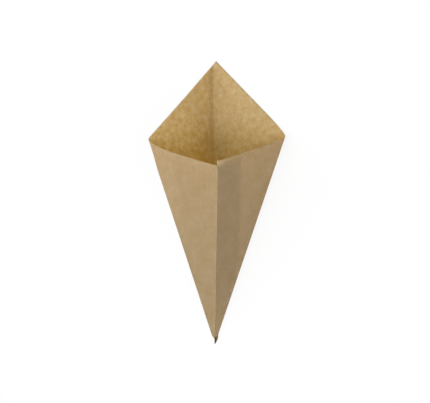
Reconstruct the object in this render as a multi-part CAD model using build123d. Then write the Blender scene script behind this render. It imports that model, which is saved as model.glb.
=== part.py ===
from build123d import *
from math import cos, degrees, radians, sin, sqrt, tan
import os

# Pointed bag for fries, folded from one square sheet of kraft paper and glued along one lap.
#
# The sheet's corner is the tip. Its diagonal is the back fold, which ends in the tall back corner,
# and the two sides that start at the tip meet in the front seam. Each half of the sheet turns once
# between back fold and seam, in a tight fold with a soft bend beside it: behind the fold on the
# right, in front of it on the left. So the open bag has four panels round a four-cornered mouth.
#
# It is drawn upright first, ideal tip at the origin, axis along +Z, seam towards -Y, and is then
# laid on its back right panel, which is how it comes to rest.

# Driving dimensions, in millimetres and degrees
SHEET_SIDE = 190.0  # cut edge of the right half, from tip to rim along the seam
BACK_FOLD = 265.0  # back fold, from the tip to the tall back corner
PAPER = 0.15  # thickness of the sheet
BACK_LEAN = 14.7  # angle of back fold and seam from the axis: how deep the bag is pulled open
SECTION_LEVEL = 200.0  # height above the tip at which the bulges and radii below are measured
RIGHT_FOLD_RADIUS = 2.5  # tight fold between the back right and front right panels
RIGHT_SOFT_RADIUS = 55.0  # soft bend in the back right panel
RIGHT_SOFT_GAP = 16.0  # distance from that bend's middle to the right fold
RIGHT_BULGE = 4.7  # how far that bend stands out from the straight way between the folds
LEFT_FOLD_RADIUS = 3.5  # fold between the front left and back left panels
LEFT_SOFT_RADIUS = 60.0  # soft bend in the front left panel
LEFT_SOFT_GAP = 21.5  # distance from that bend's middle to the left fold
LEFT_BULGE = 8.0  # how far that bend stands out from the straight way between seam and fold
LAP_WIDTH = 25.0  # glue lap that runs on from the left half, inside the front right panel
LAP_START = 14.0  # distance from the tip to the lap's lower end
LAP_TAPER = 23.0  # angle of the lap's slanted lower end from the seam
LAP_DROP = 4.0  # how far the left half ends below the right half at the seam
SEAM_OVERHANG = 0.4  # how far the right half's cut edge stands past the seam at the rim
TIP_CUT = 1.0  # height above the ideal tip at which the paper ends, since it has a thickness
TIP_CLOSED = 2.5  # height above the ideal tip below which the layers are pressed together
DRAWN_PAST = 20.0  # how far the cone is drawn past the back corner before the mouth is cut
REACH_TOLERANCE = 0.0001  # how closely the opening's width is fitted to the sheet

# The flat sheet: half of its square corner lies between back fold and seam
HALF_ANGLE = 45.0
LEFT_SIDE = SHEET_SIDE - LAP_DROP

# The upright cone
HEIGHT = BACK_FOLD * cos(radians(BACK_LEAN)) + DRAWN_PAST
HALF_DEPTH = SECTION_LEVEL * tan(radians(BACK_LEAN))
BACK = Vector(0, sin(radians(BACK_LEAN)), cos(radians(BACK_LEAN)))
SEAM = Vector(0, -sin(radians(BACK_LEAN)), cos(radians(BACK_LEAN)))


def half_corners(reach: float, soft_gap: float, bulge: float) -> list[Vector]:
    """Corners of the right half's section at its level: back fold, soft bend, tight fold, seam."""
    back = Vector(0, HALF_DEPTH, SECTION_LEVEL)
    fold = Vector(reach, 0, SECTION_LEVEL)
    way = (fold - back).normalized()
    outward = Vector(-way.Y, way.X, 0)
    soft = fold - way * soft_gap + outward * bulge
    seam = Vector(0, -HALF_DEPTH, SECTION_LEVEL)
    return [back, soft, fold, seam]


def flat_angle(corners: list[Vector]) -> float:
    """Angle that a run of the section, with sharp corners, takes up at the tip of the flat sheet."""
    return sum(first.get_angle(second) for first, second in zip(corners, corners[1:]))


def rounding_angle(before: Vector, corner: Vector, after: Vector, radius: float) -> float:
    """Angle at the tip by which a corner's way gets shorter when it is rounded."""
    turn = radians((corner - before).get_angle(after - corner))
    return degrees(radius * (2 * tan(turn / 2) - turn) / corner.length)


def fitted_corners(soft_gap: float, bulge: float, soft_radius: float, fold_radius: float) -> list[Vector]:
    """Corners of a half that opens just as wide as half of the sheet allows, found by halving."""
    low = soft_gap
    high = SECTION_LEVEL
    while high - low > REACH_TOLERANCE:
        reach = (low + high) / 2
        back, soft, fold, seam = half_corners(reach, soft_gap, bulge)
        angle = flat_angle([back, soft, fold, seam])
        angle -= rounding_angle(back, soft, fold, soft_radius)
        angle -= rounding_angle(soft, fold, seam, fold_radius)
        if angle < HALF_ANGLE:
            low = reach
        else:
            high = reach
    return half_corners(high, soft_gap, bulge)


def half_turned(corners: list[Vector]) -> list[Vector]:
    """The same corners, turned half a turn about the axis."""
    return [Vector(-corner.X, -corner.Y, corner.Z) for corner in corners]


# The left half has its soft bend on the seam's side, so it is a half turned round the axis
BACK_CORNER, RIGHT_SOFT, RIGHT_FOLD, SEAM_CORNER = fitted_corners(
    RIGHT_SOFT_GAP, RIGHT_BULGE, RIGHT_SOFT_RADIUS, RIGHT_FOLD_RADIUS
)
_, LEFT_SOFT, LEFT_FOLD, _ = half_turned(
    fitted_corners(LEFT_SOFT_GAP, LEFT_BULGE, LEFT_SOFT_RADIUS, LEFT_FOLD_RADIUS)
)


def cone_section() -> Sketch:
    """Outline of the bag's outside at the section's level, with its bends rounded."""
    corners = [BACK_CORNER, RIGHT_SOFT, RIGHT_FOLD, SEAM_CORNER, LEFT_SOFT, LEFT_FOLD]
    bends = [
        (RIGHT_SOFT, RIGHT_SOFT_RADIUS),
        (RIGHT_FOLD, RIGHT_FOLD_RADIUS),
        (LEFT_SOFT, LEFT_SOFT_RADIUS),
        (LEFT_FOLD, LEFT_FOLD_RADIUS),
    ]
    section = make_face(Polyline(*[(corner.X, corner.Y) for corner in corners], close=True))
    for corner, radius in bends:
        nearest = section.vertices().sort_by_distance((corner.X, corner.Y))[0]
        section = fillet(nearest, radius)
    return section


def pointed_solid(section: Sketch, apex: float, end: float) -> Part:
    """Solid that narrows from the section at the top to a point at height apex, cut off at height end."""
    top = Plane.XY.offset(HEIGHT) * section
    pointed = Solid.make_loft([Vertex(0, 0, apex), top.wire()], ruled=True)
    return split(pointed, bisect_by=Plane.XY.offset(end), keep=Keep.TOP)


def paper_wall() -> Part:
    """The folded sheet before the mouth is cut: the outside cone less one a sheet's thickness inside."""
    inward = front_right_plane().z_dir
    axial_shift = PAPER / inward.Z
    inset = PAPER / sqrt(1 - inward.Z**2)
    outside = scale(cone_section(), HEIGHT / SECTION_LEVEL)
    inside = offset(outside, -inset, kind=Kind.INTERSECTION)
    return pointed_solid(outside, 0, TIP_CUT) - pointed_solid(inside, axial_shift, TIP_CLOSED)


def front_right_plane() -> Plane:
    """Outside of the front right panel: X runs up the seam from the tip, Y across it, Z into the bag."""
    inward = SEAM.cross(RIGHT_FOLD).normalized()
    return Plane(origin=(0, 0, 0), x_dir=SEAM, z_dir=inward)


def back_right_plane() -> Plane:
    """Outside of the back right panel as a floor: Y follows the bag's axis, Z points into the bag."""
    inward = RIGHT_SOFT.cross(BACK).normalized()
    along = Vector(0, 0, 1) - inward * inward.Z
    return Plane(origin=(0, 0, 0), x_dir=along.cross(inward), z_dir=inward)


def rim_distance(angle: float, seam_length: float) -> float:
    """Distance from tip to rim, at an angle from the back fold, on the flat sheet's straight edge."""
    from_back = BACK_FOLD * sin(radians(angle))
    from_seam = seam_length * sin(radians(HALF_ANGLE - angle))
    return BACK_FOLD * seam_length * sin(radians(HALF_ANGLE)) / (from_back + from_seam)


def cut_rim(half: Part, back_run: list[Vector], seam_length: float) -> Part:
    """One half of the wall, cut off along the sheet's straight edge from back corner to seam.

    The back run is the half's section from back fold to tight fold.
    """
    back_corner = BACK * BACK_FOLD
    fold_corner = back_run[-1].normalized() * rim_distance(flat_angle(back_run), seam_length)
    seam_corner = SEAM * seam_length
    upward = (fold_corner - back_corner).cross(seam_corner - back_corner)
    upward = upward if upward.Z > 0 else upward * -1
    rim = Plane(origin=back_corner, z_dir=upward)
    return split(half, bisect_by=rim, keep=Keep.BOTTOM)


def glue_lap() -> Part:
    """Lap of the left half, folded round the seam and glued flat inside the front right panel."""
    mitre_end = LAP_START + LAP_WIDTH / tan(radians(LAP_TAPER))
    outline = Polyline(
        (LAP_START, 0),
        (mitre_end, LAP_WIDTH),
        (LEFT_SIDE, LAP_WIDTH),
        (LEFT_SIDE, 0),
        close=True,
    )
    glued_face = front_right_plane().offset(PAPER)
    return extrude(glued_face * make_face(outline), PAPER)


def cut_edge() -> Part:
    """Edge strip of the right half, whose cut edge stands past the seam and runs out towards the tip."""
    strip_width = 2 * PAPER
    outline = Polyline(
        (LAP_START, 0),
        (SHEET_SIDE + DRAWN_PAST, -SEAM_OVERHANG),
        (SHEET_SIDE + DRAWN_PAST, strip_width),
        (LAP_START, strip_width),
        close=True,
    )
    return extrude(front_right_plane() * make_face(outline), PAPER)


def paper_cone() -> Part:
    """The whole bag, upright."""
    wall = paper_wall()
    right_wall = split(wall, bisect_by=Plane.YZ, keep=Keep.TOP)
    left_wall = split(wall, bisect_by=Plane.YZ, keep=Keep.BOTTOM)
    right_half = cut_rim(right_wall + cut_edge(), [BACK_CORNER, RIGHT_SOFT, RIGHT_FOLD], SHEET_SIDE)
    left_half = cut_rim(left_wall, [BACK_CORNER, LEFT_FOLD], LEFT_SIDE)
    return right_half + left_half + glue_lap()


def laid_down(bag: Part) -> Part:
    """The bag on its back right panel, centred over the origin."""
    lying = back_right_plane().to_local_coords(bag)
    centre = lying.bounding_box().center()
    return Pos(-centre.X, -centre.Y, 0) * lying


os.makedirs("parts", exist_ok=True)
export_step(laid_down(paper_cone()), "parts/paper_cone.step")
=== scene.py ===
"""Pointed kraft paper bag for fries, lying on a white studio floor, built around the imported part."""

import logging
import math
from dataclasses import dataclass, field
from enum import Enum

import bmesh
import bpy
from bmesh.types import BMesh, BMFace
from mathutils import Matrix, Vector


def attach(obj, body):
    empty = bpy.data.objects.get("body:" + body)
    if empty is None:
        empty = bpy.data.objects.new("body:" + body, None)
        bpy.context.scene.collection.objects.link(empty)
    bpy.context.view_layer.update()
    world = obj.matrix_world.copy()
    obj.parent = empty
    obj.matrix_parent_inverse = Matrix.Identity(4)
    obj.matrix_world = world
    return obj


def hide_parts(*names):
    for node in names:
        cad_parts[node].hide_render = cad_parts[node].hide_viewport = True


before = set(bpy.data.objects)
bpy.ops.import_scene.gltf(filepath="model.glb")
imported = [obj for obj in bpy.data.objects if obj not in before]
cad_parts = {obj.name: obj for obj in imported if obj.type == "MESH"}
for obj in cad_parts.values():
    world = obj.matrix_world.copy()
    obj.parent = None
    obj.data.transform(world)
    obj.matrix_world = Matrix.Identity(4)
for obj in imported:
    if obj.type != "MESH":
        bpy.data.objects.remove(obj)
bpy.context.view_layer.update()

LOG = logging.getLogger("fry_bag")
UV_MAP = "flat_sheet"
MM = 0.001


def linear(hex_colour: str) -> tuple[float, float, float, float]:
    """Turns a written sRGB colour into the linear values that shaders take.

    Args:
        hex_colour: Six hex digits, red, green and blue.

    Returns:
        Linear red, green and blue, and an alpha of 1.
    """
    shares = [int(hex_colour[place : place + 2], 16) / 255 for place in (0, 2, 4)]
    red, green, blue = [
        share / 12.92 if share <= 0.04045 else ((share + 0.055) / 1.055) ** 2.4 for share in shares
    ]
    return red, green, blue, 1.0


def add_node(
    tree: bpy.types.NodeTree,
    kind: str,
    settings: dict[str, object] | None = None,
    **sockets: object,
) -> bpy.types.Node:
    """Adds one node, with its settings, values and links.

    Args:
        tree: The node tree that gets it.
        kind: The node's type, such as ShaderNodeMath.
        settings: Values for the node's own properties.
        **sockets: For each input, by its name with _ for a space or its number after in_, a value or an
            output socket to link.

    Returns:
        The new node.
    """
    node = tree.nodes.new(kind)
    for name, value in (settings or {}).items():
        setattr(node, name, value)
    for name, value in sockets.items():
        key = int(name[3:]) if name.startswith("in_") else name.replace("_", " ")
        if isinstance(value, bpy.types.NodeSocket):
            tree.links.new(value, node.inputs[key])
        else:
            node.inputs[key].default_value = value
    return node


@dataclass(frozen=True)
class Ramp:
    """A smooth way from 0 to 1.

    Attributes:
        start: Last value that gives 0.
        end: First value that gives 1.
    """

    start: float
    end: float

    def rise(self, value: float) -> float:
        """Share that goes from 0 at the start to 1 at the end."""
        share = min(1.0, max(0.0, (value - self.start) / (self.end - self.start)))
        return share * share * (3 - 2 * share)

    def fall(self, value: float) -> float:
        """Share that goes from 1 at the start to 0 at the end."""
        return 1 - self.rise(value)


class Half(Enum):
    """The sheet's two halves, either side of the back fold, with the sign of their flat angle."""

    LEFT = -1
    RIGHT = 1


class Layer(Enum):
    """What each point of the mesh carries for the look of its two sides. Outer clouds and warmth stay 0."""

    OUTER_TONE = "outer_tone"
    INNER_TONE = "inner_tone"
    OUTER_CLOUDS = "outer_clouds"
    INNER_CLOUDS = "inner_clouds"
    OUTER_WARMTH = "outer_warmth"
    INNER_WARMTH = "inner_warmth"


@dataclass(frozen=True)
class Bend:
    """How one half of the sheet turns between back fold and seam.

    Attributes:
        fold_at: Flat angle at the tip from the back fold to the tight fold, in degrees.
        fold_width: Half the angle over which the tight fold is spread, in degrees.
        tight_share: Share of the whole turn that the tight fold takes.
        soft_back: Angle that the soft bend takes up behind the fold, in degrees.
        soft_front: Angle that the soft bend takes up in front of the fold, in degrees.
        turn: The whole turn, in radians.
        heading: Direction in which the half leaves the back fold, in radians.
    """

    fold_at: float
    fold_width: float
    tight_share: float
    soft_back: float
    soft_front: float
    turn: float
    heading: float

    def curvature(self, angle: float) -> float:
        """Turn per radian of flat angle.

        Args:
            angle: Flat angle from the back fold, in degrees.

        Returns:
            The turn there, in radians per radian.
        """
        away = angle - self.fold_at
        soft_width = self.soft_back if away < 0 else self.soft_front
        soft = math.cos(math.pi / 2 * min(1.0, abs(away) / soft_width)) ** 2
        tight = math.cos(math.pi / 2 * min(1.0, abs(away) / self.fold_width)) ** 2
        soft /= math.radians(self.soft_back + self.soft_front) / 2
        tight /= math.radians(self.fold_width)
        return self.turn * ((1 - self.tight_share) * soft + self.tight_share * tight)


@dataclass
class FoldedHalf:
    """One half of the sheet in its folded state: straight lines that fan out from the tip.

    Attributes:
        half: Which half it is.
        bend: How it turns.
        back_lean: Angle of the back fold from the bag's axis, in degrees.
        span: Flat angle from back fold to seam, in degrees.
        steps: Number of steps over which the turn is added up.
        rays: Directions from the tip along the paper, one more than there are steps.
        inwards: Directions into the bag, square to the paper, at the same places.
    """

    half: Half
    bend: Bend
    back_lean: float
    span: float
    steps: int = 1800
    rays: list[Vector] = field(init=False, default_factory=list)
    inwards: list[Vector] = field(init=False, default_factory=list)

    def __post_init__(self) -> None:
        """Adds up the turn step by step, from the back fold to the seam."""
        lean = math.radians(self.back_lean)
        ray = Vector((0, math.sin(lean), math.cos(lean)))
        across = Vector((1, 0, 0)) * math.cos(self.bend.heading)
        across += Vector((0, -math.cos(lean), math.sin(lean))) * math.sin(self.bend.heading)
        step = math.radians(self.span) / self.steps
        for place in range(self.steps + 1):
            self.rays.append(self._sided(ray))
            self.inwards.append(self._sided(across.cross(ray)))
            middle = (place + 0.5) * self.span / self.steps
            turn = self.bend.curvature(middle) * step
            # Half of the turn comes before the step along the sheet and half after it
            aim = across * math.cos(turn / 2) + ray.cross(across) * math.sin(turn / 2)
            next_ray = ray * math.cos(step) + aim * math.sin(step)
            aim = aim * math.cos(step) - ray * math.sin(step)
            ray = next_ray
            across = aim * math.cos(turn / 2) + ray.cross(aim) * math.sin(turn / 2)

    def _sided(self, direction: Vector) -> Vector:
        """The direction on this half's own side of the bag."""
        return Vector((direction.x * self.half.value, direction.y, direction.z))

    def _read(self, row: list[Vector], angle: float) -> Vector:
        """Reads a row of directions between its places.

        Args:
            row: The directions from back fold to seam.
            angle: Flat angle from the back fold, in degrees.

        Returns:
            The direction there.
        """
        place = min(max(angle / self.span, 0.0), 1.0) * self.steps
        low = min(int(place), self.steps - 1)
        return row[low].lerp(row[low + 1], place - low).normalized()

    def ray(self, angle: float) -> Vector:
        """Direction from the tip along the paper, at a flat angle from the back fold."""
        return self._read(self.rays, angle)

    def inward(self, angle: float) -> Vector:
        """Direction into the bag, square to the paper, at a flat angle from the back fold."""
        return self._read(self.inwards, angle)


@dataclass(frozen=True)
class KraftFinish:
    """Unbleached kraft paper from a paper machine: dull brown, with fibres that lie along the web.

    Attributes:
        name: Name of the material.
        tone: Layer of painted light and shade that makes the paper lighter or darker in places.
        clouds: Layer that makes the clouds stronger or weaker in places.
        warmth: Layer of painted bounce light that makes the paper warmer in places.
        colour: Main colour of the light that the paper sends back.
        cloud_colour: Colour of the lighter clouds, where the pulp lies thinner.
        cloud_mm: Size of the clouds.
        fibre_colour: Colour of the darker fibres.
        fibre_share: How much of the fibre colour shows.
        warm_colour: Tint of the painted bounce light where the paper is warmest.
        through_colour: Colour of the light that comes through the sheet.
        through_share: Share of the light that goes in instead of being sent back.
        roughness: Roughness of the surface.
    """

    name: str
    tone: Layer
    clouds: Layer
    warmth: Layer
    colour: str
    cloud_colour: str
    cloud_mm: float
    fibre_colour: str
    fibre_share: float
    warm_colour: str
    through_colour: str
    through_share: float
    roughness: float

    # Noise has its mean here, and the clouds are spread about it by their gain
    NOISE_MEAN = 0.5
    CLOUD_GAIN = 2.8
    CLOUD_DETAIL = 4.0
    CLOUD_ROUGHNESS = 0.65
    # Fibres are 0.3 mm across on real paper, and are drawn wider so that they show
    FIBRE_WIDTH_MM = 0.9
    FIBRE_LENGTH_MM = 5.0
    FIBRE_DETAIL = 2.0
    FIBRE_ROUGHNESS = 0.6
    FIBRES_SHOW_FROM = 0.45
    FIBRES_SHOW_FULLY = 0.75
    WEB_ANGLE = 45.0
    RELIEF_STRENGTH = 0.25
    RELIEF_MM = 0.05
    PAPER_IOR = 1.45
    SPECULAR_LEVEL = 0.25

    def material(self, sheet_span_mm: float) -> bpy.types.Material:
        """Makes the material, with patterns that lie in the flat sheet.

        Args:
            sheet_span_mm: Length in the flat sheet that the UV map's unit stands for.

        Returns:
            The material.
        """
        material = bpy.data.materials.new(self.name)
        material.use_nodes = True
        tree = material.node_tree
        tree.nodes.clear()
        flat = add_node(tree, "ShaderNodeUVMap", {"uv_map": UV_MAP}).outputs["UV"]
        clouds = self._cloud_share(tree, flat, sheet_span_mm)
        fibres = self._fibres(tree, flat, sheet_span_mm)
        # The fibres stand up a little, which makes the shine dull and uneven
        relief = add_node(
            tree,
            "ShaderNodeBump",
            Strength=self.RELIEF_STRENGTH,
            Distance=self.RELIEF_MM * MM,
            Height=fibres,
        )
        surface = add_node(
            tree,
            "ShaderNodeBsdfPrincipled",
            Base_Color=self._colour(tree, clouds, fibres),
            Roughness=self.roughness,
            IOR=self.PAPER_IOR,
            Specular_IOR_Level=self.SPECULAR_LEVEL,
            Normal=relief.outputs["Normal"],
        )
        # Thin paper glows warm where light falls on its far side
        glow = add_node(tree, "ShaderNodeBsdfTranslucent", Color=linear(self.through_colour))
        paper = add_node(
            tree,
            "ShaderNodeMixShader",
            in_0=self.through_share,
            in_1=surface.outputs["BSDF"],
            in_2=glow.outputs["BSDF"],
        )
        add_node(tree, "ShaderNodeOutputMaterial", Surface=paper.outputs["Shader"])
        return material

    def _cloud_share(
        self, tree: bpy.types.NodeTree, flat: bpy.types.NodeSocket, sheet_span_mm: float
    ) -> bpy.types.NodeSocket:
        """Clouds where the pulp lies thicker or thinner: they give the sheet its uneven tone.

        Args:
            tree: The node tree that gets the nodes.
            flat: Place in the flat sheet.
            sheet_span_mm: Length in the flat sheet that the UV map's unit stands for.

        Returns:
            Share of the cloud colour.
        """
        noise = add_node(
            tree,
            "ShaderNodeTexNoise",
            Vector=flat,
            Scale=sheet_span_mm / self.cloud_mm,
            Detail=self.CLOUD_DETAIL,
            Roughness=self.CLOUD_ROUGHNESS,
        )
        above_mean = add_node(
            tree,
            "ShaderNodeMath",
            {"operation": "SUBTRACT"},
            in_0=noise.outputs["Fac"],
            in_1=self.NOISE_MEAN,
        )
        strength = add_node(tree, "ShaderNodeAttribute", {"attribute_name": self.clouds.value})
        gain = add_node(
            tree,
            "ShaderNodeMath",
            {"operation": "MULTIPLY_ADD"},
            in_0=strength.outputs["Fac"],
            in_1=self.CLOUD_GAIN,
            in_2=self.CLOUD_GAIN,
        )
        share = add_node(
            tree,
            "ShaderNodeMath",
            {"operation": "MULTIPLY_ADD", "use_clamp": True},
            in_0=above_mean.outputs["Value"],
            in_1=gain.outputs["Value"],
            in_2=self.NOISE_MEAN,
        )
        return share.outputs["Value"]

    def _fibres(
        self, tree: bpy.types.NodeTree, flat: bpy.types.NodeSocket, sheet_span_mm: float
    ) -> bpy.types.NodeSocket:
        """Long fibres along the web: they give the sheet its fine streaks.

        Args:
            tree: The node tree that gets the nodes.
            flat: Place in the flat sheet.
            sheet_span_mm: Length in the flat sheet that the UV map's unit stands for.

        Returns:
            How far the fibres stand out.
        """
        along_web = add_node(
            tree,
            "ShaderNodeMapping",
            Vector=flat,
            Rotation=(0, 0, math.radians(self.WEB_ANGLE)),
            Scale=(sheet_span_mm / self.FIBRE_WIDTH_MM, sheet_span_mm / self.FIBRE_LENGTH_MM, 1),
        )
        noise = add_node(
            tree,
            "ShaderNodeTexNoise",
            Vector=along_web.outputs["Vector"],
            Scale=1.0,
            Detail=self.FIBRE_DETAIL,
            Roughness=self.FIBRE_ROUGHNESS,
        )
        return noise.outputs["Fac"]

    def _colour(
        self, tree: bpy.types.NodeTree, clouds: bpy.types.NodeSocket, fibres: bpy.types.NodeSocket
    ) -> bpy.types.NodeSocket:
        """Mixes the paper's colour. A colour mix has its colours at inputs 6 and 7 and at output 2.

        Args:
            tree: The node tree that gets the nodes.
            clouds: Share of the cloud colour.
            fibres: How far the fibres stand out.

        Returns:
            The colour.
        """
        fibre_share = add_node(
            tree,
            "ShaderNodeMapRange",
            Value=fibres,
            From_Min=self.FIBRES_SHOW_FROM,
            From_Max=self.FIBRES_SHOW_FULLY,
            To_Max=self.fibre_share,
        )
        clouded = add_node(
            tree,
            "ShaderNodeMix",
            {"data_type": "RGBA"},
            in_0=clouds,
            in_6=linear(self.colour),
            in_7=linear(self.cloud_colour),
        )
        fibred = add_node(
            tree,
            "ShaderNodeMix",
            {"data_type": "RGBA"},
            in_0=fibre_share.outputs["Result"],
            in_6=clouded.outputs[2],
            in_7=linear(self.fibre_colour),
        )
        # Painted bounce light: deep in the bag, light that has come through or off other paper is painted
        # in as a more golden tint
        warmth = add_node(tree, "ShaderNodeAttribute", {"attribute_name": self.warmth.value})
        warmed = add_node(
            tree,
            "ShaderNodeMix",
            {"data_type": "RGBA", "blend_type": "MULTIPLY"},
            in_0=warmth.outputs["Fac"],
            in_6=fibred.outputs[2],
            in_7=linear(self.warm_colour),
        )
        # Painted light and shade at folds, edges, the tip and the double layers make the paper a little
        # lighter or darker in places
        tone = add_node(tree, "ShaderNodeAttribute", {"attribute_name": self.tone.value})
        tone_share = add_node(
            tree, "ShaderNodeMath", {"operation": "ADD"}, in_0=tone.outputs["Fac"], in_1=1.0
        )
        toned = add_node(
            tree,
            "ShaderNodeVectorMath",
            {"operation": "SCALE"},
            in_0=warmed.outputs[2],
            Scale=tone_share.outputs["Value"],
        )
        return toned.outputs["Vector"]


@dataclass(frozen=True)
class FlatSheet:
    """The flat sheet, tip at the origin and back fold along +Y. Lengths in millimetres, angles in degrees.

    Attributes:
        seam_right: Cut edge of the right half, from tip to rim.
        seam_left: Folded edge of the left half, from tip to rim, where the lap runs on.
        back_fold: Distance from the tip to the tall back corner.
        corner_off: How far the back corner lies to the right of the back fold, as an angle.
        tip_start: Distance from the ideal tip at which the paper starts.
        paper: Thickness of the sheet.
        lap_width: Width of the glue lap.
        lap_start: Distance from the tip to the lap's lower end.
        lap_taper: Angle of the lap's slanted lower end from the seam.
    """

    seam_right: float = 190.0
    seam_left: float = 186.0
    back_fold: float = 265.0
    corner_off: float = 0.54
    tip_start: float = 1.4
    paper: float = 0.15
    lap_width: float = 25.0
    lap_start: float = 14.0
    lap_taper: float = 23.0

    # Angles at the tip: each half, the fan from which the lap is cut, and one strip of the mesh
    HALF_SPAN = 45.0
    LAP_SPAN = 19.5
    STRIP = 0.25
    # Strips are drawn past the back corner, with shorter faces near the tip
    FINE_END = 14.0
    FINE_CUTS = 18
    DRAWN_END = 270.0
    LONG_CUTS = 58
    CUT_TOLERANCE = 0.0001

    @staticmethod
    def angle(flat: Vector) -> float:
        """Angle of a point from the back fold, right half positive."""
        return math.degrees(math.atan2(flat.x, flat.y))

    @staticmethod
    def point(distance: float, angle: float) -> Vector:
        """Point at a distance from the tip and an angle from the back fold."""
        return Vector((math.sin(math.radians(angle)), math.cos(math.radians(angle)), 0)) * distance

    @staticmethod
    def off_edge(first: Vector, second: Vector) -> Vector:
        """Direction out of the sheet, square to an edge that is walked with the sheet on its left."""
        way = (second - first).normalized()
        return Vector((way.y, -way.x, 0))

    def back_corner(self) -> Vector:
        """The tall back corner."""
        return self.point(self.back_fold, self.corner_off)

    def right_end(self) -> Vector:
        """Upper end of the right half's cut edge."""
        return self.point(self.seam_right, self.HALF_SPAN)

    def left_end(self) -> Vector:
        """Upper end of the left half's folded edge."""
        return self.point(self.seam_left, -self.HALF_SPAN)

    def seam_angle(self, flat: Vector) -> float:
        """Angle of a point from its half's seam edge in radians, below 0 on the lap."""
        return math.radians(self.HALF_SPAN - abs(self.angle(flat)))

    def from_seam(self, flat: Vector) -> float:
        """Distance of a point from its half's seam edge, below 0 on the lap."""
        return flat.length * math.sin(self.seam_angle(flat))

    def up_seam(self, flat: Vector) -> float:
        """How far up its half's seam edge a point lies."""
        return flat.length * math.cos(self.seam_angle(flat))

    def from_left_rim(self, flat: Vector) -> float:
        """Distance of a point from the left half's rim."""
        return (self.left_end() - flat).dot(self.off_edge(self.back_corner(), self.left_end()))

    def blank(self) -> BMesh:
        """Cuts the sheet with its lap out of a fan of fine strips.

        Returns:
            The flat mesh.
        """
        fan = bmesh.new()
        start = -self.HALF_SPAN - self.LAP_SPAN
        reaches = (self.tip_start, self.FINE_END, self.DRAWN_END)
        ends = [fan.verts.new(self.point(reach, start)) for reach in reaches]
        tip_edge = fan.edges.new(ends[:2])
        long_edge = fan.edges.new(ends[1:])
        bmesh.ops.subdivide_edges(fan, edges=[tip_edge], cuts=self.FINE_CUTS)
        bmesh.ops.subdivide_edges(fan, edges=[long_edge], cuts=self.LONG_CUTS)
        whole = self.HALF_SPAN - start
        bmesh.ops.spin(
            fan,
            geom=fan.verts[:] + fan.edges[:],
            axis=(0, 0, 1),
            cent=(0, 0, 0),
            angle=-math.radians(whole),
            steps=round(whole / self.STRIP),
        )
        corner = self.back_corner()
        left_end = self.left_end()
        self._cut(fan, False, corner, self.off_edge(self.right_end(), corner))
        self._cut(fan, False, corner, self.off_edge(corner, left_end))
        seam = left_end.normalized()
        lap_side = Vector((-seam.y, seam.x, 0))
        taper = Matrix.Rotation(math.radians(self.lap_taper), 3, "Z") @ lap_side
        self._cut(fan, True, left_end, seam)
        self._cut(fan, True, lap_side * self.lap_width, lap_side)
        self._cut(fan, True, seam * self.lap_start, taper)
        return fan

    def _is_lap(self, face: BMFace) -> bool:
        """Whether a face belongs to the glue lap."""
        return self.angle(face.calc_center_median()) < -self.HALF_SPAN

    def _cut(self, fan: BMesh, lap: bool, point: Vector, outward: Vector) -> None:
        """Cuts the lap, or all but the lap, along a line.

        Args:
            fan: The flat mesh.
            lap: Whether the lap is cut.
            point: A point on the line.
            outward: Direction of the side that falls away.
        """
        faces = [face for face in fan.faces if self._is_lap(face) == lap]
        edges = {edge for face in faces for edge in face.edges}
        verts = {vert for face in faces for vert in face.verts}
        bmesh.ops.bisect_plane(
            fan,
            geom=faces + list(edges) + list(verts),
            dist=self.CUT_TOLERANCE,
            plane_co=point,
            plane_no=outward,
            clear_outer=True,
        )


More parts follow.
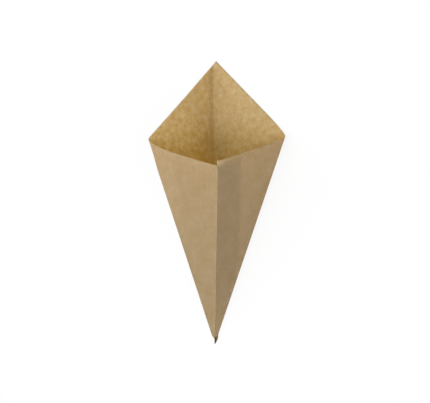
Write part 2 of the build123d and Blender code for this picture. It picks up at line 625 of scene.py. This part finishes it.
@dataclass(frozen=True)
class SheetTone:
    """How the look of the sheet's two sides changes from place to place, in shares of their colour: mostly
    painted light and shade.

    Attributes:
        sheet: The flat sheet.
        lap_shade: How much darker two glued layers look than one, because less light comes through.
        edge_highlight: How much lighter a painted highlight makes the left half's edges, at its seam and
            rim.
        bend_sheen: How much lighter a painted sheen makes the left half along its bend.
        corner_highlight: How much lighter a painted highlight makes the right half's curled free corner.
        tip_shade: How much darker painted shade makes the tip.
        fold_shade: How much darker painted shade makes the back fold inside.
        beside_shade: How much darker the left half is beside that fold, some way down.
        left_light: How much lighter the back left panel is away from that fold.
        deep_light: How much lighter the back right panel looks further down, where light comes through it.
        low_light: How much lighter the paper beside the back fold looks still further down.
        left_clouds: How much stronger than elsewhere the clouds inside the left half are.
        right_clouds: How much weaker the clouds inside the right half are, as a share below 0.
    """

    sheet: FlatSheet
    lap_shade: float = 0.11
    edge_highlight: float = 0.05
    bend_sheen: float = 0.12
    corner_highlight: float = 0.3
    tip_shade: float = 0.64
    fold_shade: float = 0.17
    beside_shade: float = 0.08
    left_light: float = 0.08
    deep_light: float = 0.18
    low_light: float = 0.25
    left_clouds: float = 0.6
    right_clouds: float = -0.1

    # Both sides: millimetres from the tip
    TIP_SHADE_ENDS_RIGHT = Ramp(8.4, 9.6)
    TIP_SHADE_ENDS_LEFT = Ramp(4.8, 6.0)
    # Outer side: millimetres from an edge, from the free corner or into the lap's outline
    EDGE_HIGHLIGHT_ENDS = Ramp(0.4, 2.4)
    CORNER_ENDS = Ramp(3.75, 7.5)
    LAP_SIDE = Ramp(-2.5, 2.5)
    LAP_TOP = Ramp(-1.25, 1.25)
    # Outer side: millimetres from the tip
    LAP_SHOWS = Ramp(35.0, 80.0)
    BEND_SHEEN_STARTS = Ramp(85.0, 140.0)
    # Outer side: degrees from the back fold
    BEND_STARTS = Ramp(20.0, 23.0)
    BEND_ENDS = Ramp(25.0, 32.0)
    # Inner side: millimetres to the right or left of the back fold
    FOLD_SHADE_LEFT = Ramp(-7.0, -4.4)
    FOLD_SHADE_RIGHT = Ramp(-0.8, 0.4)
    LEFT_CLOUDS_START = Ramp(0.0, 12.0)
    # Inner side: millimetres from the tip
    FOLD_SHADE_STARTS = Ramp(168.0, 198.0)
    LIGHT_STARTS = Ramp(130.0, 165.0)
    LOW_LIGHT_ENDS = Ramp(170.0, 186.0)
    DEEP_LIGHT_ENDS = Ramp(182.0, 206.0)
    BESIDE_SHADE_ENDS = Ramp(205.0, 230.0)
    LEFT_CLOUDS_END = Ramp(190.0, 230.0)
    WARMTH_STARTS = Ramp(110.0, 165.0)
    WARMTH_ENDS = Ramp(170.0, 220.0)
    # Inner side: degrees from the back fold
    BACK_PANEL_SIDE = Ramp(21.0, 26.0)
    LOW_LIGHT_SIDE = Ramp(7.0, 11.0)
    DEEP_LIGHT_SIDE = Ramp(3.0, 8.0)
    BESIDE_SHADE_SIDE = Ramp(4.0, 9.0)
    LEFT_LIGHT_SIDE = Ramp(4.0, 13.0)

    def outer_tone(self, flat: Vector) -> float:
        """How much painted light and shade make the sheet's outer side lighter or darker at a point.

        Args:
            flat: The point on the flat sheet.

        Returns:
            The change as a share of the colour, below 0 for darker.
        """
        if self.sheet.angle(flat) < 0:
            return self._left_highlights(flat) - self._shade_at_tip(flat)
        # Painted highlight on the curled free corner
        from_corner = (flat - self.sheet.right_end()).length
        corner_lit = self.corner_highlight * self.CORNER_ENDS.fall(from_corner)
        return corner_lit - self.lap_shade * self._lap_share(flat) - self._shade_at_tip(flat)

    def _left_highlights(self, flat: Vector) -> float:
        """How much lighter painted highlights make the left half: at its seam, at its rim and along its
        bend.

        Args:
            flat: The point on the flat sheet.

        Returns:
            The share that is gained.
        """
        away = -self.sheet.angle(flat)
        # Painted highlight along the seam and the rim
        from_edge = min(self.sheet.from_seam(flat), self.sheet.from_left_rim(flat))
        # Painted sheen along the bend
        on_bend = self.BEND_STARTS.rise(away) * self.BEND_ENDS.fall(away)
        on_bend *= self.BEND_SHEEN_STARTS.rise(flat.length)
        return self.edge_highlight * self.EDGE_HIGHLIGHT_ENDS.fall(from_edge) + self.bend_sheen * on_bend

    def _lap_share(self, flat: Vector) -> float:
        """How much of the glue lap behind the right half shows, which is less towards the tip.

        Args:
            flat: The point on the flat sheet.

        Returns:
            The share from 0 to 1.
        """
        up_seam = self.sheet.up_seam(flat)
        from_seam = self.sheet.from_seam(flat)
        slant = (up_seam - self.sheet.lap_start) * math.tan(math.radians(self.sheet.lap_taper)) - from_seam
        covered = self.LAP_SIDE.rise(self.sheet.lap_width - from_seam) * self.LAP_SIDE.rise(slant)
        covered *= self.LAP_TOP.rise(self.sheet.seam_left - up_seam)
        return covered * self.LAP_SHOWS.rise(flat.length)

    def _shade_at_tip(self, flat: Vector) -> float:
        """How much painted shade darkens the sheet near the tip.

        Args:
            flat: The point on the flat sheet.

        Returns:
            The share that is lost.
        """
        right = self.sheet.angle(flat) >= 0
        shade_ends = self.TIP_SHADE_ENDS_RIGHT if right else self.TIP_SHADE_ENDS_LEFT
        return self.tip_shade * shade_ends.fall(flat.length)

    def inner_tone(self, flat: Vector) -> float:
        """How much lighter or darker the sheet's inner side is at a point.

        Painted shade makes it darker along the back fold, beside it and at the tip, and painted light makes
        it lighter away from the fold on the left and further down.

        Args:
            flat: The point on the flat sheet.

        Returns:
            The change as a share of the colour, below 0 for darker.
        """
        angle = self.sheet.angle(flat)
        # Painted shade along the back fold
        fold_shaded = self.FOLD_SHADE_LEFT.rise(flat.x) * self.FOLD_SHADE_RIGHT.fall(flat.x)
        fold_shaded *= self.FOLD_SHADE_STARTS.rise(flat.length)
        back_panel = self.BACK_PANEL_SIDE.fall(abs(angle))
        # Painted light further down on the back panels, and painted shade beside the fold on the left
        lit = self.LIGHT_STARTS.rise(flat.length)
        low = lit * self.LOW_LIGHT_ENDS.fall(flat.length) * self.LOW_LIGHT_SIDE.fall(abs(angle))
        if angle >= 0:
            deep = lit * self.DEEP_LIGHT_ENDS.fall(flat.length)
            aside = self.deep_light * deep * self.DEEP_LIGHT_SIDE.rise(angle) * back_panel
        else:
            beside_fold = self.BESIDE_SHADE_SIDE.fall(-angle) * self.BESIDE_SHADE_ENDS.fall(flat.length)
            aside = self.left_light * self.LEFT_LIGHT_SIDE.rise(-angle) * back_panel
            aside -= self.beside_shade * beside_fold
        return aside + self.low_light * low - self.fold_shade * fold_shaded - self._shade_at_tip(flat)

    def inner_clouds(self, flat: Vector) -> float:
        """How much stronger the inner side's clouds are at a point: most of all low down on the left half.

        Args:
            flat: The point on the flat sheet.

        Returns:
            The change as a share, below 0 for weaker.
        """
        left_share = self.LEFT_CLOUDS_START.rise(-flat.x) * self.LEFT_CLOUDS_END.fall(flat.length)
        return self.right_clouds + (self.left_clouds - self.right_clouds) * left_share

    def inner_warmth(self, flat: Vector) -> float:
        """How much painted bounce light warms the inner side at a point: in a broad band some way down from
        the rim.

        Args:
            flat: The point on the flat sheet.

        Returns:
            The share of the warm tint.
        """
        return self.WARMTH_STARTS.rise(flat.length) * self.WARMTH_ENDS.fall(flat.length)


@dataclass
class PaperBag:
    """The bag: the sheet, folded to a point and laid down. Lengths in millimetres, angles in degrees.

    Attributes:
        sheet: The flat sheet.
        tone: How the look of its two sides changes from place to place.
        name: Name of the piece.
        back_lean: Angle of the back fold from the bag's axis.
        right_bend: How the right half turns.
        left_bend: How the left half turns.
        fold_round: Half the flat angle over which the back fold is rounded.
        pinch_left: Share of its width that is left where the left half is pinched at the tip.
        hook: How far the right half bends out just above the tip.
        drop: How far the tip is drawn down.
        rim_give: How far the left fold gives way inwards at the rim.
        curl: How far the free front corner of the right half curls in.
        tip_at: Place of the tip on the floor.
        right: The right half, folded.
        left: The left half, folded.
        across: Direction across the floor, as seen from the upright bag.
        along: Direction along the floor, as seen from the upright bag.
        up: Direction up from the floor, as seen from the upright bag.
        flat_area: Area of the flat sheet in square metres, known once it is cut.
    """

    sheet: FlatSheet
    tone: SheetTone
    name: str = "kraft_paper_bag"
    back_lean: float = 14.68
    right_bend: Bend = Bend(
        fold_at=22.5545,
        fold_width=1.2,
        tight_share=0.55986,
        soft_back=10.9489,
        soft_front=6.7680,
        turn=-1.785538,
        heading=0.604682,
    )
    left_bend: Bend = Bend(
        fold_at=21.7984,
        fold_width=1.2,
        tight_share=0.60686,
        soft_back=4.5428,
        soft_front=17.3891,
        turn=-1.821371,
        heading=0.658406,
    )
    fold_round: float = 0.7
    pinch_left: float = 0.2
    hook: float = 0.9
    drop: float = 1.0
    rim_give: float = 0.75
    curl: float = 1.3
    tip_at: Vector = field(default_factory=lambda: Vector((-0.26, -131.48, 0.0)))
    right: FoldedHalf = field(init=False)
    left: FoldedHalf = field(init=False)
    across: Vector = field(init=False)
    along: Vector = field(init=False)
    up: Vector = field(init=False)
    flat_area: float = field(init=False, default=0.0)

    # Millimetres from the tip
    DROP_ENDS = Ramp(2.0, 10.0)
    HOOK_STARTS = Ramp(1.5, 5.5)
    HOOK_ENDS = Ramp(6.5, 12.0)
    PINCH_ENDS = Ramp(5.0, 9.8)
    GIVE_STARTS = Ramp(172.0, 192.0)
    # Degrees from the back fold
    HOOK_SIDE = Ramp(0.0, FlatSheet.HALF_SPAN / 2)
    GIVE_BACK = Ramp(0.0, 10.0)
    GIVE_FRONT = Ramp(28.0, 43.0)
    TUCK_SIDE = Ramp(FlatSheet.HALF_SPAN - 1.5, FlatSheet.HALF_SPAN)
    ANGLE_TOLERANCE = 0.0001
    # The curled corner starts this far below the left half's end and is this wide, in millimetres
    CURL_BELOW = 3.0
    CURL_WIDTH = 5.0
    # Gap between glued layers, in millimetres
    GLUE_GAP = 0.02
    # The UV map's unit in millimetres of flat sheet, and where the back fold lies in it
    SHEET_SPAN = 300.0
    UV_MIDDLE = 0.5
    # Edges with more of a turn than this look sharp
    SHARP_ANGLE = 35.0

    def __post_init__(self) -> None:
        """Folds the two halves and finds the floor, which is the back right panel."""
        span = self.sheet.HALF_SPAN
        self.right = FoldedHalf(Half.RIGHT, self.right_bend, self.back_lean, span)
        self.left = FoldedHalf(Half.LEFT, self.left_bend, self.back_lean, span)
        self.up = self.right.inward(0.0)
        self.along = (Vector((0, 0, 1)) - self.up * self.up.z).normalized()
        self.across = self.along.cross(self.up)

    def upright_to_floor(self) -> Matrix:
        """Move from the upright bag, tip at the origin, to the bag lying on its back right panel.

        Returns:
            The matrix, in millimetres.
        """
        return Matrix.Translation(self.tip_at) @ Matrix((self.across, self.along, self.up)).to_4x4()

    def place(self, flat: Vector) -> Vector:
        """Where a point of the flat sheet lies in the upright bag.

        Args:
            flat: The point on the flat sheet.

        Returns:
            The point of the bag's outside, tip at the origin.
        """
        angle = self.sheet.angle(flat)
        if angle >= 0:
            return self._place_right(flat, angle)
        if angle >= -self.sheet.HALF_SPAN - self.ANGLE_TOLERANCE:
            return self._place_left(flat, angle)
        # The lap goes round the seam and lies glued inside the right half
        glued = 2 * self.sheet.HALF_SPAN + angle
        return self.right.ray(glued) * flat.length + self._under_seam(glued)

    def _place_right(self, flat: Vector, angle: float) -> Vector:
        """Where a point of the right half lies, which is hooked at the tip and curled at its free corner.

        Args:
            flat: The point on the flat sheet.
            angle: Its flat angle from the back fold.

        Returns:
            The point of the upright bag.
        """
        distance = flat.length
        from_seam = self.sheet.from_seam(flat)
        free = Ramp(self.sheet.seam_left - self.CURL_BELOW, self.sheet.seam_right).rise(distance)
        free *= max(0.0, 1 - from_seam / self.CURL_WIDTH) ** 2
        bent = self.HOOK_STARTS.rise(distance) * self.HOOK_ENDS.fall(distance)
        move = self._tip_move(distance, angle)
        move += self.across * self.hook * bent * self.HOOK_SIDE.rise(angle)
        return self.right.ray(angle) * distance + self.right.inward(angle) * self.curl * free + move

    def _place_left(self, flat: Vector, angle: float) -> Vector:
        """Where a point of the left half lies, which is pinched at the tip and gives way at the rim.

        Args:
            flat: The point on the flat sheet.
            angle: Its flat angle from the back fold.

        Returns:
            The point of the upright bag.
        """
        distance = flat.length
        folded = self.left.ray(-angle) * distance
        folded.x *= self.pinch_left + (1 - self.pinch_left) * self.PINCH_ENDS.rise(distance)
        gives = self.GIVE_STARTS.rise(distance)
        gives *= self.GIVE_BACK.rise(-angle) * self.GIVE_FRONT.fall(-angle)
        folded.x += self.rim_give * gives
        under = self._under_seam(self.sheet.HALF_SPAN) * self.TUCK_SIDE.rise(-angle)
        return folded + under + self._tip_move(distance, angle)

    def _under_seam(self, angle: float) -> Vector:
        """Step from the outside of the right half to the outside of the layer glued behind it."""
        return self.right.inward(angle) * (self.sheet.paper + self.GLUE_GAP)

    def _tip_move(self, distance: float, angle: float) -> Vector:
        """Shift that draws the tip down and rounds the back fold.

        Args:
            distance: Distance from the tip.
            angle: Flat angle from the back fold.

        Returns:
            The shift.
        """
        right_inward = self.right.inward(0.0)
        left_inward = self.left.inward(0.0)
        within = max(0.0, self.fold_round - abs(angle))
        slope = math.sin(right_inward.angle(left_inward) / 2)
        depth = distance * slope * math.radians(within**2 / (2 * self.fold_round))
        rounding = (right_inward + left_inward).normalized() * depth
        return self.along * -self.drop * self.DROP_ENDS.fall(distance) + rounding

    def build(self) -> bpy.types.Object:
        """Cuts the sheet, folds it and lays it on the floor.

        Returns:
            The finished piece.
        """
        blank = self.sheet.blank()
        self.flat_area = sum(face.calc_area() for face in blank.faces) * MM**2
        LOG.info("flat sheet: %.5f square metres", self.flat_area)
        uv = blank.loops.layers.uv.new(UV_MAP)
        layers = {layer: blank.verts.layers.float.new(layer.value) for layer in Layer}
        for face in blank.faces:
            face.smooth = True
            for loop in face.loops:
                flat = loop.vert.co / self.SHEET_SPAN
                loop[uv].uv = (self.UV_MIDDLE + flat.x, flat.y)
        down = Matrix.Scale(MM, 4) @ self.upright_to_floor()
        for vert in blank.verts:
            vert[layers[Layer.OUTER_TONE]] = self.tone.outer_tone(vert.co)
            vert[layers[Layer.INNER_TONE]] = self.tone.inner_tone(vert.co)
            vert[layers[Layer.INNER_CLOUDS]] = self.tone.inner_clouds(vert.co)
            vert[layers[Layer.INNER_WARMTH]] = self.tone.inner_warmth(vert.co)
            vert.co = down @ self.place(vert.co)
        blank.normal_update()
        mesh = bpy.data.meshes.new(self.name)
        blank.to_mesh(mesh)
        blank.free()
        mesh.set_sharp_from_angle(angle=math.radians(self.SHARP_ANGLE))
        bag = bpy.data.objects.new(self.name, mesh)
        bpy.context.collection.objects.link(bag)
        # The thickness grows inwards, and the inner side takes the second material
        thick = bag.modifiers.new("paper_thickness", "SOLIDIFY")
        thick.thickness = self.sheet.paper * MM
        thick.offset = -1.0
        thick.material_offset = 1
        thick.material_offset_rim = 0
        return bag

    def dress(self, bag: bpy.types.Object, outside: KraftFinish, inside: KraftFinish) -> None:
        """Gives the paper its two sides, hangs it on the root body and hides the imported part that it
        stands for.

        Args:
            bag: The finished piece.
            outside: Finish of the sheet's outer side.
            inside: Finish of the sheet's inner side.
        """
        bag.data.materials.append(outside.material(self.SHEET_SPAN))
        bag.data.materials.append(inside.material(self.SHEET_SPAN))
        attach(bag, "root")
        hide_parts("paper_cone")


@dataclass(frozen=True)
class Softbox:
    """A square lamp that looks at the bag. Lengths in metres.

    Attributes:
        name: Name of the lamp.
        towards: Direction from the bag to the lamp.
        level: Light on a surface that faces it: 1 shows a colour as it is written.
        distance: Distance from the bag.
        size: Side of the lamp.
    """

    name: str
    towards: tuple[float, float, float]
    level: float
    distance: float = 1.2
    size: float = 0.8

    def hang(self) -> bpy.types.Object:
        """Hangs the lamp.

        Returns:
            The lamp.
        """
        lamp = bpy.data.lights.new(self.name, "AREA")
        lamp.shape = "SQUARE"
        lamp.size = self.size
        # Power at which a matt surface that faces the lamp from the bag's place shows the level
        lamp.energy = self.level * (math.pi * self.distance) ** 2
        box = bpy.data.objects.new(self.name, lamp)
        box.location = Vector(self.towards).normalized() * self.distance
        box.rotation_mode = "QUATERNION"
        box.rotation_quaternion = (-box.location).to_track_quat("-Z", "Y")
        bpy.context.collection.objects.link(box)
        return box


@dataclass(frozen=True)
class Studio:
    """White floor and soft light. Lengths in metres.

    Attributes:
        floor_size: Half the side of the floor.
        floor_gap: How far the floor lies below the bag, so that the two never coincide.
        floor_colour: Colour of the floor.
        floor_glow: Share of the floor's own white in what the camera sees of it near the bag.
        shadow_reach: Distance from the bag up to which the floor shows shadows at that share.
        white_from: Distance from which the floor is all white, as the surround is.
        sky_level: Strength of the even light from all round.
        lamps: The softboxes.
    """

    floor_size: float = 3.0
    floor_gap: float = 0.0002
    floor_colour: str = "F4F4F4"
    floor_glow: float = 0.9
    shadow_reach: float = 0.3
    white_from: float = 0.9
    sky_level: float = 0.03
    lamps: tuple[Softbox, ...] = (
        Softbox("softbox_above", (-0.23, -0.22, 0.92), level=0.60),
        Softbox("softbox_left", (-0.80, 0.10, 0.55), level=0.29),
        Softbox("softbox_front", (0.73, -0.03, 0.57), level=0.52),
        Softbox("softbox_high_at_mouth", (-0.20, 0.50, 0.85), level=0.27),
    )

    WHITE = (1.0, 1.0, 1.0, 1.0)

    def floor(self) -> bpy.types.Object:
        """Lays the floor.

        Returns:
            The floor.
        """
        plane = bmesh.new()
        bmesh.ops.create_grid(plane, x_segments=1, y_segments=1, size=self.floor_size)
        mesh = bpy.data.meshes.new("studio_floor")
        plane.to_mesh(mesh)
        plane.free()
        mesh.materials.append(self._floor_material())
        floor = bpy.data.objects.new("studio_floor", mesh)
        floor.location.z = -self.floor_gap
        bpy.context.collection.objects.link(floor)
        return floor

    @staticmethod
    def _seen(tree: bpy.types.NodeTree) -> bpy.types.NodeSocket:
        """Socket that is 1 for rays that show a thing to the eye, also in a mirror or through glass.

        It is 0 for rays that a matt or translucent surface scatters, so that the white round the bag does
        not light the paper.

        Args:
            tree: The node tree that gets the nodes.

        Returns:
            The socket.
        """
        path = add_node(tree, "ShaderNodeLightPath").outputs
        seen = path["Is Camera Ray"]
        for kind, operation in (
            ("Is Glossy Ray", "MAXIMUM"),
            ("Is Transmission Ray", "MAXIMUM"),
            ("Is Diffuse Ray", "SUBTRACT"),
        ):
            step = add_node(
                tree,
                "ShaderNodeMath",
                {"operation": operation, "use_clamp": True},
                in_0=seen,
                in_1=path[kind],
            )
            seen = step.outputs["Value"]
        return seen

    def _floor_material(self) -> bpy.types.Material:
        """Matt white paint, seen mostly as light of its own, so that it looks white and keeps a shadow.

        Returns:
            The material.
        """
        material = bpy.data.materials.new("matt_white_floor_paint")
        material.use_nodes = True
        tree = material.node_tree
        tree.nodes.clear()
        paint = add_node(tree, "ShaderNodeBsdfDiffuse", Color=linear(self.floor_colour))
        glow = add_node(tree, "ShaderNodeEmission", Color=self.WHITE, Strength=1.0)
        # Further off, the floor runs into the white round it with no horizon
        place = add_node(tree, "ShaderNodeTexCoord").outputs["Object"]
        away = add_node(tree, "ShaderNodeVectorMath", {"operation": "LENGTH"}, in_0=place)
        glow_share = add_node(
            tree,
            "ShaderNodeMapRange",
            Value=away.outputs["Value"],
            From_Min=self.shadow_reach,
            From_Max=self.white_from,
            To_Min=self.floor_glow,
            To_Max=1.0,
        )
        share = add_node(
            tree,
            "ShaderNodeMath",
            {"operation": "MULTIPLY"},
            in_0=self._seen(tree),
            in_1=glow_share.outputs["Result"],
        )
        mixed = add_node(
            tree,
            "ShaderNodeMixShader",
            in_0=share.outputs["Value"],
            in_1=paint.outputs["BSDF"],
            in_2=glow.outputs["Emission"],
        )
        add_node(tree, "ShaderNodeOutputMaterial", Surface=mixed.outputs["Shader"])
        return material

    def light(self) -> None:
        """Hangs the lamps and sets the even light."""
        world = bpy.data.worlds.new("studio_light")
        bpy.context.scene.world = world
        world.use_nodes = True
        tree = world.node_tree
        tree.nodes.clear()
        strength = add_node(
            tree, "ShaderNodeMapRange", Value=self._seen(tree), To_Min=self.sky_level, To_Max=1.0
        )
        sky = add_node(
            tree, "ShaderNodeBackground", Color=self.WHITE, Strength=strength.outputs["Result"]
        )
        add_node(tree, "ShaderNodeOutputWorld", Surface=sky.outputs["Background"])
        for lamp in self.lamps:
            LOG.info("%s hung", lamp.hang().name)


@dataclass(frozen=True)
class PhotoCamera:
    """The camera, placed by the upright bag. Lengths in millimetres, angles in degrees.

    Attributes:
        image_width: Width of the image in pixels.
        focal_px: Focal length in pixels.
        aim_height: Height above the tip at which it looks.
        distance: Distance from that point.
        elevation: Angle above the upright bag's horizon.
        bag_turn: How far the bag is turned about its axis.
        roll: Turn of the camera about its line of sight.
        drop_px: How far below the image's middle the aim lies.
        aside_px: How far right of the image's middle the aim lies.
        sensor_width: Width of the sensor.
        nearest: Distance from which things are seen.
    """

    image_width: float = 430.0
    focal_px: float = 646.86
    aim_height: float = 129.117
    distance: float = 573.43
    elevation: float = 15.4245
    bag_turn: float = 1.446
    roll: float = 0.1603
    drop_px: float = 10.196
    aside_px: float = 0.226
    sensor_width: float = 36.0
    nearest: float = 10.0

    def build(self, to_floor: Matrix) -> bpy.types.Object:
        """Makes the camera.

        Args:
            to_floor: Move from the upright bag to the floor, in millimetres.

        Returns:
            The camera.
        """
        lens = bpy.data.cameras.new("photo_camera")
        lens.sensor_width = self.sensor_width
        lens.lens = self.sensor_width * self.focal_px / self.image_width
        lens.shift_x = -self.aside_px / self.image_width
        lens.shift_y = self.drop_px / self.image_width
        lens.clip_start = self.nearest * MM
        rise = math.radians(self.elevation)
        back = Vector((0, -math.cos(rise), math.sin(rise)))
        up = Vector((0, math.sin(rise), math.cos(rise)))
        right = Vector((1, 0, 0))
        roll = math.radians(self.roll)
        rolled_right = right * math.cos(roll) + up * math.sin(roll)
        rolled_up = up * math.cos(roll) - right * math.sin(roll)
        facing = Matrix((rolled_right, rolled_up, back)).transposed().to_4x4()
        stand = Matrix.Translation(Vector((0, 0, self.aim_height)) + back * self.distance) @ facing
        seen = to_floor @ Matrix.Rotation(math.radians(-self.bag_turn), 4, "Z") @ stand
        seen.translation *= MM
        camera = bpy.data.objects.new("photo_camera", lens)
        camera.matrix_world = seen
        bpy.context.collection.objects.link(camera)
        bpy.context.scene.camera = camera
        return camera


# The smoother side, greyer and with broad, faint clouds
OUTSIDE = KraftFinish(
    name="machine_glazed_kraft_paper",
    tone=Layer.OUTER_TONE,
    clouds=Layer.OUTER_CLOUDS,
    warmth=Layer.OUTER_WARMTH,
    colour="B6A37B",
    cloud_colour="C3B190",
    cloud_mm=11.0,
    fibre_colour="99815F",
    fibre_share=0.5,
    warm_colour="FFFDDB",
    through_colour="F0CE68",
    through_share=0.35,
    roughness=0.75,
)
# The rougher side, with small, clear clouds; its more golden colour is partly the paper's own and partly
# painted light bounced inside the bag
INSIDE = KraftFinish(
    name="rough_side_of_kraft_paper",
    tone=Layer.INNER_TONE,
    clouds=Layer.INNER_CLOUDS,
    warmth=Layer.INNER_WARMTH,
    colour="CDA96B",
    cloud_colour="E4D3A4",
    cloud_mm=5.5,
    fibre_colour="A98E55",
    fibre_share=0.3,
    warm_colour="FFFDDB",
    through_colour="F0CE68",
    through_share=0.35,
    roughness=0.85,
)


def main() -> None:
    """Builds the bag, the studio and the camera."""
    logging.basicConfig(level=logging.INFO)
    bpy.context.scene.view_settings.view_transform = "Standard"
    sheet = FlatSheet()
    bag = PaperBag(sheet, SheetTone(sheet))
    piece = bag.build()
    bag.dress(piece, OUTSIDE, INSIDE)
    LOG.info("%s: %d faces", piece.name, len(piece.data.polygons))
    studio = Studio()
    floor = studio.floor()
    LOG.info("%s laid", floor.name)
    studio.light()
    camera = PhotoCamera().build(bag.upright_to_floor())
    LOG.info("%s placed", camera.name)


if __name__ == "__main__":
    main()
